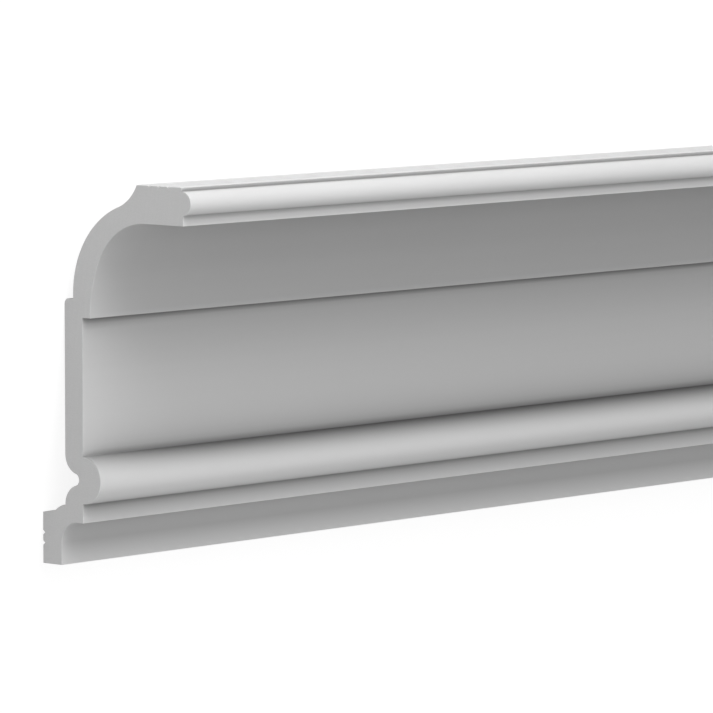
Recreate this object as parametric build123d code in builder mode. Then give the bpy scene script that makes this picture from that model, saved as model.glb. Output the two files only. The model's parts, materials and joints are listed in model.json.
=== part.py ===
import os
from math import asin, atan, atan2, cos, degrees, hypot, radians, sin

from build123d import *

# Cornice moulding in rigid foam: one extruded section with a beaded nose, a cove, a frieze, a torus and a foot.
# The section is drawn as it is fitted: x is the height on the wall and y the projection from the wall.
# The stock is stored lying on its back, face up, with its length along X.

# Overall sizes
length = 2000.0
height = 200.0
projection = 106.5

# Plinth at the foot, with a cavetto under the apron
plinth_thickness = 13.7
plinth_height = 11.7
cavetto_radius = 11.2
apron_height = 10.0

# Torus and frieze
torus_radius = 12.4
torus_standout = 12.6
frieze_projection = 29.45
frieze_wall = 13.1

# Cove of two arcs: a flat one springing from the lip, then a tighter one up to the soffit
lip_overhang = 5.4
cove_lower_radius = 74.2
cove_lower_turn = 22.5
cove_upper_radius = 36.0
cove_wall = 12.8

# Nose under the ceiling, with its bead between two fillets
nose_height = 19.85
bead_radius = 6.3
bead_drop = 8.4
bead_standout = 5.3
ceiling_edge_setback = 1.3

# Back of the foot: the wall pad, its shelf and the ramp up to the frieze
wall_pad_height = 26.9
shelf_depth = 9.3
shelf_rise = 1.7
ramp_radius = 14.0

# Back of the torus: a hollow with round shoulders and a round root
relief_mouth = 26.0
relief_depth = 9.9
relief_root_radius = 3.2
relief_land = 0.4

# Back of the frieze and the cove, up to the ceiling pad
frieze_back_lap = 9.7
frieze_corner_radius = 2.8
frieze_step = 6.2
cove_back_rise = 2.75
cove_back_turn = 70.4
ceiling_hollow_radius = 23.8

# Adhesive grooves in both pads
groove_width = 2.4
wall_groove_depth = 1.5
wall_groove_pitch = 5.4
ceiling_groove_depth = 1.0
ceiling_groove_pitch = 6.7

# Softening of the front edges
arris_radius = 0.4

# Heights worked out from the foot
apron_bottom = plinth_height + cavetto_radius
torus_height = apron_bottom + apron_height + torus_radius
ramp_top = torus_height - relief_mouth / 2 - relief_land

# Heights worked out from the ceiling
soffit_height = height - nose_height
bead_height = height - bead_drop
cove_upper_height = cove_upper_radius * (1 - sin(radians(cove_lower_turn)))
cove_height = cove_lower_radius * sin(radians(cove_lower_turn)) + cove_upper_height
lip_height = soffit_height - cove_height
step_height = lip_height + frieze_back_lap

# Projections
frieze_back = frieze_projection - frieze_wall
lip_projection = frieze_projection + lip_overhang
cove_back = frieze_back + frieze_step
torus_projection = frieze_projection + torus_standout - torus_radius
nose_face = projection - bead_standout
ceiling_edge = nose_face - ceiling_edge_setback
bead_projection = projection - bead_radius

# Hollow behind the torus: the shoulders and the root meet where both have turned by the same angle
relief_turn = 2 * degrees(atan(2 * relief_depth / relief_mouth))
relief_shoulder_radius = relief_mouth / 2 / sin(radians(relief_turn)) - relief_root_radius

# Hollow under the ceiling pad: it turns back from the cove's outer arc until it reaches the ceiling
cove_back_radius = cove_upper_radius + cove_wall
cove_back_top = step_height + cove_back_rise + cove_back_radius * sin(radians(cove_back_turn))
ceiling_hollow_sine = sin(radians(cove_back_turn)) - (height - cove_back_top) / ceiling_hollow_radius
ceiling_hollow_turn = cove_back_turn - degrees(asin(ceiling_hollow_sine))

upward = (1, 0)

with BuildSketch() as section:
    with BuildLine():
        # Front, from the foot to the ceiling
        Polyline((0, 0), (0, plinth_thickness), (plinth_height, plinth_thickness))
        cavetto = JernArc((plinth_height, plinth_thickness), upward, cavetto_radius, 90)
        Polyline(
            cavetto @ 1,
            (apron_bottom, frieze_projection),
            (lip_height, frieze_projection),
            (lip_height, lip_projection),
        )
        cove_lower = JernArc((lip_height, lip_projection), upward, cove_lower_radius, cove_lower_turn)
        cove_upper = JernArc(cove_lower @ 1, cove_lower % 1, cove_upper_radius, 90 - cove_lower_turn)
        Polyline(
            cove_upper @ 1,
            (soffit_height, nose_face),
            (bead_height, nose_face),
            (bead_height, ceiling_edge),
            (height, ceiling_edge),
        )

        # Back, from the foot to the ceiling
        shelf = Polyline((0, 0), (wall_pad_height, 0), (wall_pad_height + shelf_rise, shelf_depth))
        ramp = RadiusArc(shelf @ 1, (ramp_top, frieze_back), -ramp_radius)
        Line(ramp @ 1, (step_height - frieze_corner_radius, frieze_back))
        frieze_corner = JernArc(
            (step_height - frieze_corner_radius, frieze_back), upward, frieze_corner_radius, 90
        )
        Polyline(
            frieze_corner @ 1,
            (step_height, cove_back),
            (step_height + cove_back_rise, cove_back),
        )
        cove_outer = JernArc(
            (step_height + cove_back_rise, cove_back), upward, cove_back_radius, cove_back_turn
        )
        ceiling_hollow = JernArc(
            cove_outer @ 1, cove_outer % 1, ceiling_hollow_radius, -ceiling_hollow_turn
        )
        Line(ceiling_hollow @ 1, (height, ceiling_edge))
    make_face()

    # Round members of the face
    with Locations((torus_height, torus_projection)):
        Circle(torus_radius)
    with Locations((bead_height, bead_projection)):
        Circle(bead_radius)

    # Hollow behind the torus
    with BuildLine():
        shoulder = JernArc(
            (torus_height - relief_mouth / 2, frieze_back), upward, relief_shoulder_radius, relief_turn
        )
        root = JernArc(shoulder @ 1, shoulder % 1, relief_root_radius, -2 * relief_turn)
        far_shoulder = JernArc(root @ 1, root % 1, relief_shoulder_radius, relief_turn)
        Line(far_shoulder @ 1, shoulder @ 0)
    make_face(mode=Mode.SUBTRACT)

    # Adhesive grooves, centred on each pad
    ceiling_pad_middle = (ceiling_edge + (ceiling_hollow @ 1).Y) / 2
    groove_mouth = [(-groove_width / 2, 0), (groove_width / 2, 0)]
    with Locations((wall_pad_height / 2, 0)):
        with GridLocations(wall_groove_pitch, 0, 2, 1):
            Polygon(*groove_mouth, (0, wall_groove_depth), mode=Mode.SUBTRACT)
    with Locations(Location((height, ceiling_pad_middle, 0), 90)):
        with GridLocations(ceiling_groove_pitch, 0, 3, 1):
            Polygon(*groove_mouth, (0, ceiling_groove_depth), mode=Mode.SUBTRACT)

    # Front edges, softened by the mould
    for edge in [
        (0, plinth_thickness),
        (apron_bottom, frieze_projection),
        (lip_height, lip_projection),
        (soffit_height, nose_face),
        (height, ceiling_edge),
    ]:
        fillet(section.vertices().sort_by_distance(edge)[0], arris_radius)

# Lying on its back it rests on the wall pad's upper edge and on the round corner of the frieze
corner_height = step_height - frieze_corner_radius - wall_pad_height
corner_projection = frieze_back + frieze_corner_radius
corner_distance = hypot(corner_height, corner_projection)
lying_angle = degrees(atan2(corner_projection, corner_height) - asin(frieze_corner_radius / corner_distance))
lying_box = section.sketch.rotate(Axis.Z, -lying_angle).bounding_box()

# The origin is the middle of the floor under the lying stock
lying_plane = Plane(
    origin=(0, -lying_box.center().X, -lying_box.min.Y),
    x_dir=(0, cos(radians(lying_angle)), -sin(radians(lying_angle))),
    z_dir=(1, 0, 0),
)

with BuildPart() as cornice_moulding:
    with BuildSketch(lying_plane):
        add(section.sketch)
    extrude(amount=length / 2, both=True)

cornice_moulding.part.label = "cornice_moulding"

os.makedirs("parts", exist_ok=True)
export_step(cornice_moulding.part, "parts/cornice_moulding.step")
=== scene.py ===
import json
import math

import bpy
import numpy as np
from mathutils import Matrix, Vector


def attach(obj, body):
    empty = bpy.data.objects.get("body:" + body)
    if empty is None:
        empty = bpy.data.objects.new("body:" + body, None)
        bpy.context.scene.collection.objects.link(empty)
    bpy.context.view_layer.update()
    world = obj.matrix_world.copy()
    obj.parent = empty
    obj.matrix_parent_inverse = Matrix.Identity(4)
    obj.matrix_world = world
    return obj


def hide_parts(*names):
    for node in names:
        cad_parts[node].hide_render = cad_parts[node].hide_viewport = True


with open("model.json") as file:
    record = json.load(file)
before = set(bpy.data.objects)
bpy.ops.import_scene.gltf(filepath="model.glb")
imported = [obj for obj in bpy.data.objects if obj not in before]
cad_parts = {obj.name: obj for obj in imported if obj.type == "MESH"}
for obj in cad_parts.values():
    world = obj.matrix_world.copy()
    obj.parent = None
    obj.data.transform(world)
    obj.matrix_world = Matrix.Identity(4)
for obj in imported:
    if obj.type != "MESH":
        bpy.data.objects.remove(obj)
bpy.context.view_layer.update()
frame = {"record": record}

scene = bpy.context.scene
scene.view_settings.view_transform = "Standard"
mm = 0.001
tiny = 1e-6  # keeps a division from meeting nought
white = (1.0, 1.0, 1.0, 1.0)

# The stock lies on its back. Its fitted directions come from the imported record:
# lengthways to the far end, up the wall to the ceiling, and out from the wall
mounts = {mount["name"]: mount for mount in frame["record"]["mounts"]}
lengthways = Vector(mounts["far_end"]["axis"])
upWall = Vector(mounts["ceiling_face"]["axis"])
outFromWall = -Vector(mounts["wall_face"]["axis"])
nearEndX = mounts["near_end"]["pos_m"][0]
farEndX = mounts["far_end"]["pos_m"][0]
wallPadMiddle = Vector(mounts["wall_face"]["pos_m"])
ceilingHeight = (Vector(mounts["ceiling_face"]["pos_m"]) - wallPadMiddle).dot(upWall)

# The section in millimetres, as fitted: each point is (height on the wall, projection from it)
moulding = {
    "height": 200.0,
    "projection": 106.5,
    "plinthThickness": 13.7,
    "plinthHeight": 11.7,
    "cavettoRadius": 11.2,
    "apronHeight": 10.0,
    "torusRadius": 12.4,
    "torusStandout": 12.6,
    "friezeProjection": 29.45,
    "friezeWall": 13.1,
    "lipOverhang": 5.4,
    "coveLowerRadius": 74.2,
    "coveLowerTurn": 22.5,
    "coveUpperRadius": 36.0,
    "coveWall": 12.8,
    "noseHeight": 19.85,
    "beadRadius": 6.3,
    "beadDrop": 8.4,
    "beadStandout": 5.3,
    "ceilingEdgeSetback": 1.3,
    "wallPadHeight": 26.9,
    "shelfDepth": 9.3,
    "shelfRise": 1.7,
    "rampRadius": 14.0,
    "reliefMouth": 26.0,
    "reliefDepth": 9.9,
    "reliefRootRadius": 3.2,
    "reliefLand": 0.4,
    "friezeBackLap": 9.7,
    "friezeCornerRadius": 2.8,
    "friezeStep": 6.2,
    "coveBackRise": 2.75,
    "coveBackTurn": 70.4,
    "ceilingHollowRadius": 23.8,
    "grooveWidth": 2.4,
    "wallGrooves": 2,
    "wallGrooveDepth": 1.5,
    "wallGroovePitch": 5.4,
    "ceilingGrooves": 3,
    "ceilingGrooveDepth": 1.0,
    "ceilingGroovePitch": 6.7,
    "arrisRadius": 0.4,
    "sawnShare": 0.5,  # the sawn edge is rubbed back by this share of an arris radius
    "insetLimit": 0.5,  # least cosine that a corner's inset is divided by
    "lineStep": 3.0,  # longest piece of a straight run
    "lineGuard": 0.5,  # short piece at each end of a straight run, which keeps its shading flat
    "guardShare": 0.25,  # the guard takes no more than this share of a short run
    "arcStep": 2.0,  # degrees of an arc to one face
    "cornerStep": 4.0,
    "arrisStep": 15.0,
    "samePoint": 0.01,  # points of two runs nearer than this are one
    "endStations": 13,  # sections near each sawn end
    "endReach": 220.0,
    "endCrowding": 3,  # power by which they crowd towards it
    "middleStations": 21,
    "sharpAngle": 25.0,  # edges that turn more than this are shaded sharp
    # the next two set the painted shade in recesses: its power on openness, and how far a sawn end lightens
    # it
    "paintedShadePower": 2.0,  # power that turns openness into tone
    "paintedShadeEndShare": 0.45,  # a sawn end lights this share of the way to a recess's edge
    # wear and a painted highlight spread this far from an arris
    "wearHighlightReach": 0.5,  # how far wear spreads from an arris
}

sawnEase = moulding["sawnShare"] * moulding["arrisRadius"]

# The sawn end's lower back corner, which both the section and the camera start from
footCorner = wallPadMiddle + upWall * (ceilingHeight - moulding["height"] * mm)
footCorner.x = nearEndX


# Straight run: start plus a share of the way to the end, in even shares but for a short one at each end
def lineRun(start, end):
    start, end = np.array(start), np.array(end)
    reach = np.linalg.norm(end - start)
    guard = min(moulding["lineGuard"] / reach, moulding["guardShare"])
    pieces = math.ceil(reach / moulding["lineStep"])
    share = np.concatenate([[0.0], np.linspace(guard, 1.0 - guard, pieces + 1), [1.0]])
    return start + share[:, None] * (end - start)


# Arc: centre plus radius times the cosine and sine of an evenly turning angle, nought being up the wall
def arcRun(centre, radius, fromAngle, toAngle, step=moulding["arcStep"]):
    pieces = math.ceil(abs(toAngle - fromAngle) / step)
    angle = np.radians(np.linspace(fromAngle, toAngle, pieces + 1))
    return np.array(centre) + radius * np.column_stack([np.cos(angle), np.sin(angle)])


# Softened corner: a quarter arc turning to the right, its centre one radius in from both sides
def arris(corner, fromAngle):
    radius = moulding["arrisRadius"]
    sides = np.radians([fromAngle, fromAngle - 90.0])
    centre = np.array(corner) - radius * np.array([np.cos(sides).sum(), np.sin(sides).sum()])
    return arcRun(centre, radius, fromAngle, fromAngle - 90.0, moulding["arrisStep"])


# Adhesive grooves: V notches at an even pitch about a pad's middle, as places along it and depths into it
def grooveLine(middle, pitch, count, depth):
    halfWidth = moulding["grooveWidth"] / 2
    centres = middle + pitch * (np.arange(count) - (count - 1) / 2)
    along = (centres[:, None] + np.array([-halfWidth, 0.0, halfWidth])).ravel()
    return along, np.tile([0.0, depth, 0.0], count)


# Runs laid end to end make one line, with the points that repeat at the joints left out
def joinRuns(runs):
    points = np.concatenate(runs)
    step = np.linalg.norm(np.diff(points, axis=0), axis=1)
    return points[np.concatenate([[True], step > moulding["samePoint"]])]


# Straight runs from each point to the next, laid end to end
def polyRun(points):
    return joinRuns([lineRun(start, end) for start, end in zip(points[:-1], points[1:])])


# Front of the section from foot to ceiling: softened corners, straight runs and arcs laid end to end
def frontLine(m):
    radius = m["arrisRadius"]
    apronBottom = m["plinthHeight"] + m["cavettoRadius"]
    torusHeight = apronBottom + m["apronHeight"] + m["torusRadius"]
    torusProjection = m["friezeProjection"] + m["torusStandout"] - m["torusRadius"]
    torusRise = math.degrees(math.asin((m["friezeProjection"] - torusProjection) / m["torusRadius"]))
    lipProjection = m["friezeProjection"] + m["lipOverhang"]
    soffitHeight = m["height"] - m["noseHeight"]
    noseFace = m["projection"] - m["beadStandout"]
    ceilingEdge = noseFace - m["ceilingEdgeSetback"]
    beadHeight = m["height"] - m["beadDrop"]
    beadProjection = m["projection"] - m["beadRadius"]
    beadRise = math.degrees(math.asin((noseFace - beadProjection) / m["beadRadius"]))
    beadEnd = math.degrees(math.asin((ceilingEdge - beadProjection) / m["beadRadius"]))

    # the cove's two arcs share the normal where they meet
    turn = math.radians(m["coveLowerTurn"])
    radiusChange = m["coveLowerRadius"] - m["coveUpperRadius"]
    lipHeight = soffitHeight - m["coveUpperRadius"] - radiusChange * math.sin(turn)
    lowerCentre = (lipHeight, lipProjection + m["coveLowerRadius"])
    upperCentre = (soffitHeight - m["coveUpperRadius"], lowerCentre[1] - radiusChange * math.cos(turn))
    coveStart = math.degrees(math.asin(radius / m["coveLowerRadius"])) - 90.0
    coveMiddle = m["coveLowerTurn"] - 90.0

    foot = arris((0.0, m["plinthThickness"]), 180.0)
    cavetto = arcRun(
        (m["plinthHeight"], m["plinthThickness"] + m["cavettoRadius"]), m["cavettoRadius"], -90.0, 0.0
    )
    apron = arris((apronBottom, m["friezeProjection"]), 180.0)
    torus = arcRun((torusHeight, torusProjection), m["torusRadius"], 180.0 - torusRise, torusRise)
    lip = arris((lipHeight, lipProjection), 180.0)
    coveLower = arcRun(lowerCentre, m["coveLowerRadius"], coveStart, coveMiddle)
    coveUpper = arcRun(upperCentre, m["coveUpperRadius"], coveMiddle, 0.0)
    nose = arris((soffitHeight, noseFace), 180.0)
    bead = arcRun((beadHeight, beadProjection), m["beadRadius"], 180.0 - beadRise, beadEnd)
    ceiling = arris((m["height"], ceilingEdge), 90.0)
    return joinRuns([
        foot,
        lineRun(foot[-1], cavetto[0]), cavetto,
        lineRun(cavetto[-1], apron[0]), apron,
        lineRun(apron[-1], torus[0]), torus,
        polyRun([torus[-1], (lipHeight, m["friezeProjection"]), lip[0]]), lip,
        coveLower, coveUpper,
        lineRun(coveUpper[-1], nose[0]), nose,
        lineRun(nose[-1], bead[0]), bead,
        lineRun(bead[-1], ceiling[0]), ceiling,
    ]), lipHeight, torusHeight, ceilingEdge


# Back of the section from foot to ceiling, then along the ceiling pad: straight runs and arcs end to end
def backLine(m, lipHeight, torusHeight, ceilingEdge):
    friezeBack = m["friezeProjection"] - m["friezeWall"]
    coveBack = friezeBack + m["friezeStep"]
    stepHeight = lipHeight + m["friezeBackLap"]

    along, depth = grooveLine(
        m["wallPadHeight"] / 2, m["wallGroovePitch"], m["wallGrooves"], m["wallGrooveDepth"]
    )
    wallPad = [(0.0, 0.0), *zip(along, depth), (m["wallPadHeight"], 0.0)]

    # the ramp's centre is square to the middle of its chord
    rampStart = np.array([m["wallPadHeight"] + m["shelfRise"], m["shelfDepth"]])
    rampEnd = np.array([torusHeight - m["reliefMouth"] / 2 - m["reliefLand"], friezeBack])
    halfChord = (rampEnd - rampStart) / 2
    offset = math.sqrt(m["rampRadius"] ** 2 / halfChord.dot(halfChord) - 1.0)
    rampCentre = rampStart + halfChord + offset * np.array([-halfChord[1], halfChord[0]])
    rampAngles = np.degrees(np.arctan2(*(np.array([rampStart, rampEnd]) - rampCentre).T[::-1]))
    ramp = arcRun(rampCentre, m["rampRadius"], *rampAngles)

    # shoulders and root of the hollow behind the torus meet where both have turned by the same angle
    halfMouth = m["reliefMouth"] / 2
    reliefTurn = 2.0 * math.degrees(math.atan(m["reliefDepth"] / halfMouth))
    shoulderRadius = halfMouth / math.sin(math.radians(reliefTurn)) - m["reliefRootRadius"]
    shoulderDepth = friezeBack + shoulderRadius
    shoulder = arcRun((torusHeight - halfMouth, shoulderDepth), shoulderRadius, -90.0, reliefTurn - 90.0)
    rootCentre = (torusHeight, friezeBack + m["reliefDepth"] - m["reliefRootRadius"])
    root = arcRun(rootCentre, m["reliefRootRadius"], 90.0 + reliefTurn, 90.0 - reliefTurn)
    farShoulder = arcRun(
        (torusHeight + halfMouth, shoulderDepth), shoulderRadius, -90.0 - reliefTurn, -90.0
    )

    corner = arcRun(
        (stepHeight - m["friezeCornerRadius"], friezeBack + m["friezeCornerRadius"]),
        m["friezeCornerRadius"], -90.0, 0.0, m["cornerStep"],
    )
    coveBackRadius = m["coveUpperRadius"] + m["coveWall"]
    coveFoot = (stepHeight + m["coveBackRise"], coveBack)
    coveOuter = arcRun(
        (coveFoot[0], coveBack + coveBackRadius), coveBackRadius, -90.0, m["coveBackTurn"] - 90.0
    )

    # the hollow under the ceiling pad turns back from the cove until it reaches the ceiling
    turn = math.radians(m["coveBackTurn"])
    hollowRadius = m["ceilingHollowRadius"]
    hollowCentre = coveOuter[-1] + hollowRadius * np.array([math.sin(turn), -math.cos(turn)])
    hollowEnd = math.degrees(math.acos((m["height"] - hollowCentre[0]) / hollowRadius))
    hollow = arcRun(hollowCentre, hollowRadius, 90.0 + m["coveBackTurn"], hollowEnd)

    padMiddle = (ceilingEdge + hollow[-1][1]) / 2
    along, depth = grooveLine(
        padMiddle, m["ceilingGroovePitch"], m["ceilingGrooves"], m["ceilingGrooveDepth"]
    )
    ceilingPad = [tuple(hollow[-1]), *zip(m["height"] - depth, along)]
    ceilingPad.append((m["height"], ceilingEdge - m["arrisRadius"]))
    return joinRuns([
        polyRun([*wallPad, tuple(rampStart)]), ramp,
        lineRun(ramp[-1], shoulder[0]), shoulder, root, farShoulder,
        lineRun(farShoulder[-1], corner[0]), corner,
        polyRun([tuple(corner[-1]), (stepHeight, coveBack), coveFoot]), coveOuter, hollow,
        polyRun(ceilingPad),
    ])


# Square to each side of the line, out of the section: the side's direction turned a quarter to the left
def sideNormals(ring):
    side = np.roll(ring, -1, axis=0) - ring
    side /= np.linalg.norm(side, axis=1)[:, None]
    return np.column_stack([-side[:, 1], side[:, 0]])


# At each corner, the mean of its two sides' normals, brought to a length of one
def outwardNormals(ring):
    outward = sideNormals(ring)
    mean = outward + np.roll(outward, 1, axis=0)
    return mean / np.linalg.norm(mean, axis=1)[:, None]


# Moved in: each corner goes against its normal, by the amount over the cosine to its side's normal
def insetRing(ring, amount):
    mean = outwardNormals(ring)
    cosine = np.maximum((mean * sideNormals(ring)).sum(axis=1), moulding["insetLimit"])
    return ring - amount * mean / cosine[:, None]


# Openness: a sight line from a point, led once round the rest of the section, fills one stretch of angle.
# The rest is open. Weighted with the cosine it counts half the difference of the sines of its two edges.
# The distance to those edges is averaged too, each weighted with what it shuts off
def sectionOpenness(ring):
    count = len(ring)
    onward = (np.arange(count)[:, None] + np.arange(1, count)) % count
    sight = ring[onward] - ring[:, None, :]
    angle = np.unwrap(np.arctan2(sight[..., 1], sight[..., 0]), axis=1)
    outward = outwardNormals(ring)
    facing = np.arctan2(outward[:, 1], outward[:, 0])
    first = angle.max(axis=1) - facing
    last = angle.min(axis=1) + math.tau - facing
    turns = math.tau * np.round(first / math.tau)
    edges = np.sin(np.clip([first - turns, last - turns], -math.pi / 2, math.pi / 2))
    openness = np.clip(edges[1] - edges[0], 0.0, None) / 2

    shutOff = np.array([1.0 + edges[0], 1.0 - edges[1]]) + tiny
    edgeIndex = np.array([angle.argmax(axis=1), angle.argmin(axis=1)])
    edgeDistance = np.linalg.norm(sight[np.arange(count), edgeIndex], axis=2)
    return openness, (shutOff * edgeDistance).sum(axis=0) / shutOff.sum(axis=0)


# Wear and painted highlight along arrises: an arris's radius over the line's own where it turns outwards,
# fading exponentially with distance
def sectionWearAndHighlight(ring):
    side = np.roll(ring, -1, axis=0) - ring
    before = np.roll(side, 1, axis=0)
    turn = np.arctan2(before[:, 1] * side[:, 0] - before[:, 0] * side[:, 1], (before * side).sum(axis=1))
    step = (np.linalg.norm(side, axis=1) + np.linalg.norm(before, axis=1)) / 2
    arrisAmount = np.clip(moulding["arrisRadius"] * turn / step, 0.0, 1.0)
    apart = np.linalg.norm(ring[:, None, :] - ring[None, :, :], axis=2)
    return (arrisAmount * np.exp(-apart / moulding["wearHighlightReach"])).max(axis=1)


# Places of the sections along the length: crowded towards each sawn end by a power, even between
def stationPlaces(stockLength):
    share = np.linspace(0.0, 1.0, moulding["endStations"]) ** moulding["endCrowding"]
    crowded = sawnEase + moulding["endReach"] * share
    middle = np.linspace(crowded[-1], stockLength - crowded[-1], moulding["middleStations"])
    return np.concatenate([[0.0], crowded, middle[1:-1], stockLength - crowded[::-1], [stockLength]])


# The section carried along the length: place = corner + along * lengthways + height * up + projection * out
def buildMoulding():
    front, lipHeight, torusHeight, ceilingEdge = frontLine(moulding)
    back = backLine(moulding, lipHeight, torusHeight, ceilingEdge)
    footLine = lineRun(back[0], front[0])
    ring = np.concatenate([front, back[::-1][1:], footLine[1:-1]])
    print("section of", len(ring), "points")

    stockLength = (farEndX - nearEndX) / mm
    places = stationPlaces(stockLength)
    rings = np.tile(ring, (len(places), 1, 1))
    rings[[0, -1]] = insetRing(ring, sawnEase)
    axes = np.array([lengthways, upWall, outFromWall])
    local = np.dstack([np.repeat(places[:, None], len(ring), axis=1), rings])
    points = (np.array(footCorner) + mm * local @ axes).reshape(-1, 3)

    index = np.arange(len(points)).reshape(len(places), len(ring))
    onward = np.roll(index, -1, axis=1)
    quads = np.stack([index[:-1], index[1:], onward[1:], onward[:-1]], axis=-1).reshape(-1, 4)
    ends = [index[0].tolist(), index[-1][::-1].tolist()]

    mesh = bpy.data.meshes.new("mouldedStock")
    mesh.from_pydata(points.tolist(), [], quads.tolist() + ends)
    mesh.polygons.foreach_set("use_smooth", np.ones(len(mesh.polygons), dtype=bool))
    slots = np.zeros(len(mesh.polygons), dtype=np.int32)
    slots[-len(ends):] = 1  # the sawn foam
    mesh.polygons.foreach_set("material_index", slots)
    mesh.update()
    mesh.set_sharp_from_angle(angle=math.radians(moulding["sharpAngle"]))

    # painted shade in the recesses, darker where the section shuts a point in; at a sawn end half of what
    # shuts a recess in is gone
    openness, edgeDistance = sectionOpenness(ring)
    endDistance = np.minimum(places, stockLength - places)[:, None]
    endReach = moulding["paintedShadeEndShare"] * edgeDistance + tiny
    shut = (1.0 + endDistance / np.hypot(endDistance, endReach)) / 2
    tone = (1.0 - shut * (1.0 - openness)) ** moulding["paintedShadePower"]
    mesh.attributes.new("paintedRecessShade", "FLOAT", "POINT").data.foreach_set("value", tone.ravel())

    # the sawn edges get the same wear and painted highlight as the arrises
    pastEase = np.maximum(endDistance - sawnEase, 0.0)
    wearAndHighlight = np.maximum(sectionWearAndHighlight(ring), np.exp(-pastEase / moulding["wearHighlightReach"]))
    mesh.attributes.new("arrisWearAndHighlight", "FLOAT", "POINT").data.foreach_set("value", wearAndHighlight.ravel())
    stock = bpy.data.objects.new("mouldedStock", mesh)
    scene.collection.objects.link(stock)
    return stock


# A new node, with each setting put on it by name
def addNode(tree, kind, **settings):
    node = tree.nodes.new(kind)
    for name, value in settings.items():
        setattr(node, name, value)
    return node


# A new material, with its node tree and its shader
def newMaterial(name):
    material = bpy.data.materials.new(name)
    material.use_nodes = True
    return material, material.node_tree, material.node_tree.nodes["Principled BSDF"]


# Noise at the place divided by a feature's size in millimetres along, across and up
def addNoise(tree, size, detail=2.0):
    noise = addNode(tree, "ShaderNodeTexNoise")
    noise.inputs["Scale"].default_value = 1.0
    noise.inputs["Detail"].default_value = detail
    share = addNode(tree, "ShaderNodeMapping")
    share.inputs["Scale"].default_value = [1.0 / (reach * mm) for reach in size]
    tree.links.new(addNode(tree, "ShaderNodeTexCoord").outputs["Object"], share.inputs["Vector"])
    tree.links.new(share.outputs["Vector"], noise.inputs["Vector"])
    return noise.outputs["Fac"]


# One range of values stretched evenly onto another
def addRange(tree, value, source, target):
    node = addNode(tree, "ShaderNodeMapRange")
    for name, number in zip(("From Min", "From Max", "To Min", "To Max"), (*source, *target)):
        node.inputs[name].default_value = number
    tree.links.new(value, node.inputs["Value"])
    return node.outputs["Result"]


# Product = first value times second value
def addProduct(tree, first, second):
    node = addNode(tree, "ShaderNodeMath", operation="MULTIPLY")
    tree.links.new(first, node.inputs[0])
    tree.links.new(second, node.inputs[1])
    return node.outputs[0]


# Base colour = the material's colour times a tone
def addTone(tree, shader, colour, tone):
    mix = addNode(tree, "ShaderNodeMix", data_type="RGBA", blend_type="MULTIPLY")
    mix.inputs["Factor"].default_value = 1.0
    mix.inputs["A"].default_value = colour
    tree.links.new(tone, mix.inputs["B"])
    tree.links.new(mix.outputs["Result"], shader.inputs["Base Color"])


# Relief of a height in millimetres, added to the relief before it
def addRelief(tree, value, height, before=None):
    bump = addNode(tree, "ShaderNodeBump")
    bump.inputs["Distance"].default_value = height * mm
    tree.links.new(value, bump.inputs["Height"])
    if before is not None:
        tree.links.new(before, bump.inputs["Normal"])
    return bump.outputs["Normal"]


# White primer: faint patches and lengthways streaks, an eggshell grain, and arrises rubbed brighter by wear
# and a painted highlight.
# Sizes and heights are in millimetres, and a tone is a range that noise, or the wear with its painted
# highlight, runs through
primer = {
    "colour": (0.86, 0.86, 0.86, 1.0),
    "noiseSpan": (0.3, 0.7),
    "patchSize": (70.0, 70.0, 70.0),
    "patchDetail": 4.0,
    "patchTone": (0.99, 1.01),
    "streakSize": (700.0, 6.0, 6.0),
    "streakTone": (0.995, 1.005),
    "wearHighlightSize": (9.0, 9.0, 9.0),
    "wearHighlightShare": (0.4, 1.0),
    "wearHighlightTone": (1.0, 1.05),
    "roughness": (0.6, 0.72),
    "grainSize": (1.5, 1.5, 1.5),
    "grainHeight": 0.02,
    "stippleSize": (0.5, 0.5, 0.5),
    "stippleHeight": 0.006,
}


# Tone = painted recess shade * arris wear with painted highlight * patches * streaks,
# relief = stipple + grain, and roughness follows the patches
def primedFoam():
    material, tree, shader = newMaterial("primedFoam")
    span = primer["noiseSpan"]
    patches = addNoise(tree, primer["patchSize"], primer["patchDetail"])
    streaks = addNoise(tree, primer["streakSize"])
    grain = addNoise(tree, primer["grainSize"])
    stipple = addNoise(tree, primer["stippleSize"])
    # the recess attribute is painted shade in the recesses; the arris attribute is wear with a painted
    # highlight along the edges
    paintedShade = addNode(tree, "ShaderNodeAttribute", attribute_name="paintedRecessShade").outputs["Fac"]
    arrises = addNode(tree, "ShaderNodeAttribute", attribute_name="arrisWearAndHighlight").outputs["Fac"]

    rubbedHighlight = addRange(tree, addNoise(tree, primer["wearHighlightSize"]), span, primer["wearHighlightShare"])
    wearAndHighlight = addRange(tree, addProduct(tree, arrises, rubbedHighlight), (0.0, 1.0), primer["wearHighlightTone"])
    tone = addProduct(tree, paintedShade, wearAndHighlight)
    tone = addProduct(tree, tone, addRange(tree, patches, span, primer["patchTone"]))
    tone = addProduct(tree, tone, addRange(tree, streaks, span, primer["streakTone"]))
    addTone(tree, shader, primer["colour"], tone)
    tree.links.new(addRange(tree, patches, span, primer["roughness"]), shader.inputs["Roughness"])
    relief = addRelief(tree, stipple, primer["stippleHeight"])
    relief = addRelief(tree, grain, primer["grainHeight"], relief)
    tree.links.new(relief, shader.inputs["Normal"])
    return material


# Sawn foam: closed cells cut open, with the saw's lines across them
sawn = {
    # the colour is darker than the primer's: partly the foam's own, partly painted shade on the sawn end
    # faces
    "colour": (0.725, 0.725, 0.725, 1.0),
    "roughness": 0.85,
    "cellSize": 0.9,
    "cellTone": (0.985, 1.015),
    "cellHeight": 0.05,
    "noiseSpan": (0.3, 0.7),
    "lineSize": (90.0, 90.0, 1.2),
    "lineTone": (0.992, 1.008),
    "lineHeight": 0.02,
}


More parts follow.
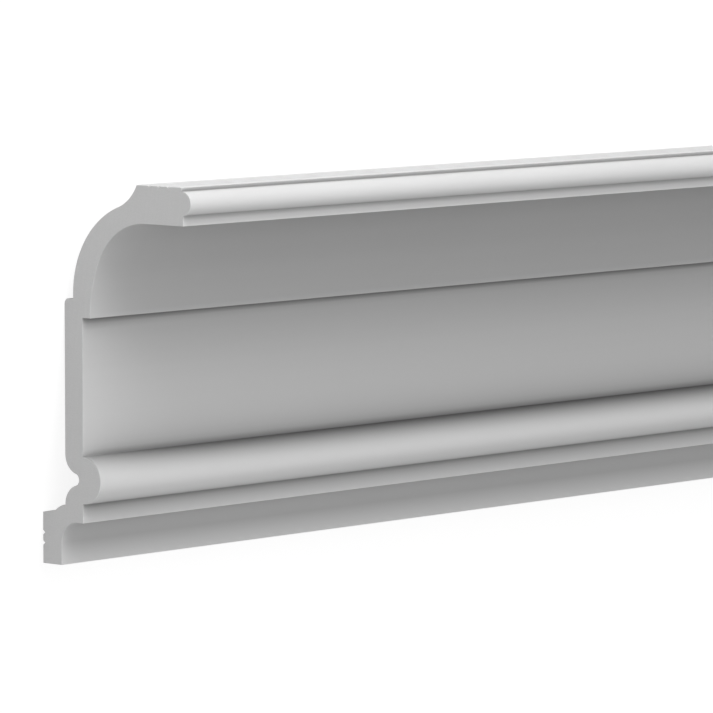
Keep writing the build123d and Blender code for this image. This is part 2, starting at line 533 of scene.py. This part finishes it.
# Tone = cells * saw lines, and relief = saw lines + cells
def sawnFoam():
    material, tree, shader = newMaterial("sawnFoam")
    cells = addNode(tree, "ShaderNodeTexVoronoi")
    cells.inputs["Scale"].default_value = 1.0 / (sawn["cellSize"] * mm)
    tree.links.new(addNode(tree, "ShaderNodeTexCoord").outputs["Object"], cells.inputs["Vector"])
    pores = cells.outputs["Distance"]
    lines = addNoise(tree, sawn["lineSize"])
    tone = addProduct(
        tree,
        addRange(tree, pores, (0.0, 1.0), sawn["cellTone"]),
        addRange(tree, lines, sawn["noiseSpan"], sawn["lineTone"]),
    )
    addTone(tree, shader, sawn["colour"], tone)
    shader.inputs["Roughness"].default_value = sawn["roughness"]
    relief = addRelief(tree, lines, sawn["lineHeight"])
    tree.links.new(addRelief(tree, pores, sawn["cellHeight"], relief), shader.inputs["Normal"])
    return material


stock = buildMoulding()
stock.data.materials.append(primedFoam())
stock.data.materials.append(sawnFoam())
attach(stock, "root")
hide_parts("cornice_moulding")
print("stock made")

# A long lens that looks down on the fitted moulding. Pixels are counted from the upper left
view = {
    "imageSize": 713.0,
    "focalPixels": 6000.0,
    "sensor": 36.0,
    "elevation": 5.292,
    "turn": 48.1,  # from the picture's right to the moulding's length
    "cornerDepth": 3.1224,
    "cornerPixel": (43.1, 562.9),  # where the sawn end's lower back corner is seen
    "farClip": 100.0,
}


# The camera stands back from the corner: place = corner - depth * (forward + across * right - down * up)
def addCamera():
    elevation = math.radians(view["elevation"])
    turn = math.radians(view["turn"])
    level = math.sin(turn) * lengthways - math.cos(turn) * outFromWall
    right = math.cos(turn) * lengthways + math.sin(turn) * outFromWall
    forward = math.cos(elevation) * level - math.sin(elevation) * upWall
    up = math.sin(elevation) * level + math.cos(elevation) * upWall
    half, focal = view["imageSize"] / 2, view["focalPixels"]
    across, down = ((pixel - half) / focal for pixel in view["cornerPixel"])
    place = footCorner - view["cornerDepth"] * (forward + across * right - down * up)
    lens = bpy.data.cameras.new("camera")
    lens.sensor_width = view["sensor"]
    lens.lens = view["sensor"] * view["focalPixels"] / view["imageSize"]
    lens.clip_end = view["farClip"]
    camera = bpy.data.objects.new("camera", lens)
    turned = Matrix((right, up, -forward)).transposed()
    camera.matrix_world = Matrix.Translation(place) @ turned.to_4x4()
    scene.collection.objects.link(camera)
    scene.camera = camera


addCamera()
print("camera set")

studio = {
    "floorHalf": 40.0,
    "floorColour": (0.8, 0.8, 0.8, 1.0),
    "floorRoughness": 1.0,
    "floorSpecular": 0.0,
    "backdropShare": 0.7,  # the rest of the floor is lit, and keeps the shadow
    "backdropGlow": 0.88,
    "sky": 0.32,
    "aimHeight": 0.04,
}
# Each softbox is aimed at a place along the length. It stands at an angle up the wall from straight out,
# tilted towards the near end, and its spread is the angle of its beam
softboxes = {
    "topSoftbox": {
        "aim": -0.9, "rise": 62.0, "tilt": 8.0, "distance": 2.6,
        "size": (2.4, 0.4), "spread": 180.0, "radiance": 6.2,
    },
    "shoulderSoftbox": {
        "aim": -0.9, "rise": 50.0, "tilt": 8.0, "distance": 2.6,
        "size": (2.4, 0.6), "spread": 180.0, "radiance": 1.15,
    },
    "frontSoftbox": {
        "aim": -0.9, "rise": 28.0, "tilt": 8.0, "distance": 1.4,
        "size": (1.2, 1.2), "spread": 180.0, "radiance": 1.24,
    },
    "footSoftbox": {
        "aim": -0.9, "rise": -25.0, "tilt": 40.0, "distance": 1.4,
        "size": (0.8, 0.8), "spread": 180.0, "radiance": 1.0,
    },
    "farSoftbox": {
        "aim": 0.6, "rise": 28.0, "tilt": 0.0, "distance": 1.4,
        "size": (1.2, 1.2), "spread": 60.0, "radiance": 0.26,
    },
}


# One for rays that should see the white backdrop: the camera's own, and those off gloss or through glass
def backdropRays(tree):
    path = addNode(tree, "ShaderNodeLightPath")
    seen = path.outputs["Is Camera Ray"]
    for name in ("Is Glossy Ray", "Is Transmission Ray"):
        larger = addNode(tree, "ShaderNodeMath", operation="MAXIMUM")
        tree.links.new(seen, larger.inputs[0])
        tree.links.new(path.outputs[name], larger.inputs[1])
        seen = larger.outputs[0]
    return seen


# Floor = the lit floor, mixed by the backdrop's share with a white glow where the backdrop is seen
def addFloor():
    half = studio["floorHalf"]
    mesh = bpy.data.meshes.new("floor")
    corners = [(-half, -half, 0.0), (half, -half, 0.0), (half, half, 0.0), (-half, half, 0.0)]
    mesh.from_pydata(corners, [], [(0, 1, 2, 3)])
    floor = bpy.data.objects.new("floor", mesh)
    scene.collection.objects.link(floor)
    material, tree, shader = newMaterial("paleFloor")
    shader.inputs["Base Color"].default_value = studio["floorColour"]
    shader.inputs["Roughness"].default_value = studio["floorRoughness"]
    shader.inputs["Specular IOR Level"].default_value = studio["floorSpecular"]
    glow = addNode(tree, "ShaderNodeEmission")
    glow.inputs["Strength"].default_value = studio["backdropGlow"] / studio["backdropShare"]
    mix = addNode(tree, "ShaderNodeMixShader")
    share = addNode(tree, "ShaderNodeMath", operation="MULTIPLY")
    share.inputs[1].default_value = studio["backdropShare"]
    tree.links.new(backdropRays(tree), share.inputs[0])
    tree.links.new(share.outputs[0], mix.inputs[0])
    tree.links.new(shader.outputs[0], mix.inputs[1])
    tree.links.new(glow.outputs[0], mix.inputs[2])
    tree.links.new(mix.outputs[0], tree.nodes["Material Output"].inputs["Surface"])
    mesh.materials.append(material)


# World = even light of the sky's strength, but plain white where the backdrop is seen
def addSky():
    world = bpy.data.worlds.new("studioSky")
    scene.world = world
    world.use_nodes = True
    tree = world.node_tree
    sky = tree.nodes["Background"]
    sky.inputs["Color"].default_value = white
    sky.inputs["Strength"].default_value = studio["sky"]
    backdrop = addNode(tree, "ShaderNodeBackground")
    backdrop.inputs["Color"].default_value = white
    mix = addNode(tree, "ShaderNodeMixShader")
    tree.links.new(backdropRays(tree), mix.inputs[0])
    tree.links.new(sky.outputs[0], mix.inputs[1])
    tree.links.new(backdrop.outputs[0], mix.inputs[2])
    tree.links.new(mix.outputs[0], tree.nodes["World Output"].inputs["Surface"])


# Softbox: place = aim + distance * direction, and power = pi * area * radiance
def addSoftbox(name, box):
    rise, tilt = math.radians(box["rise"]), math.radians(box["tilt"])
    across = math.cos(rise) * outFromWall + math.sin(rise) * upWall
    towards = math.cos(tilt) * across - math.sin(tilt) * lengthways
    along = math.sin(tilt) * across + math.cos(tilt) * lengthways
    lamp = bpy.data.lights.new(name, "AREA")
    lamp.shape = "RECTANGLE"
    lamp.size, lamp.size_y = box["size"]
    lamp.spread = math.radians(box["spread"])
    lamp.energy = math.pi * math.prod(box["size"]) * box["radiance"]
    softbox = bpy.data.objects.new(name, lamp)
    turned = Matrix((along, towards.cross(along), towards)).transposed()
    place = Vector((box["aim"], 0.0, studio["aimHeight"])) + box["distance"] * towards
    softbox.matrix_world = Matrix.Translation(place) @ turned.to_4x4()
    softbox.visible_camera = False
    scene.collection.objects.link(softbox)


addFloor()
addSky()
for name, box in softboxes.items():
    addSoftbox(name, box)
print("studio lit")
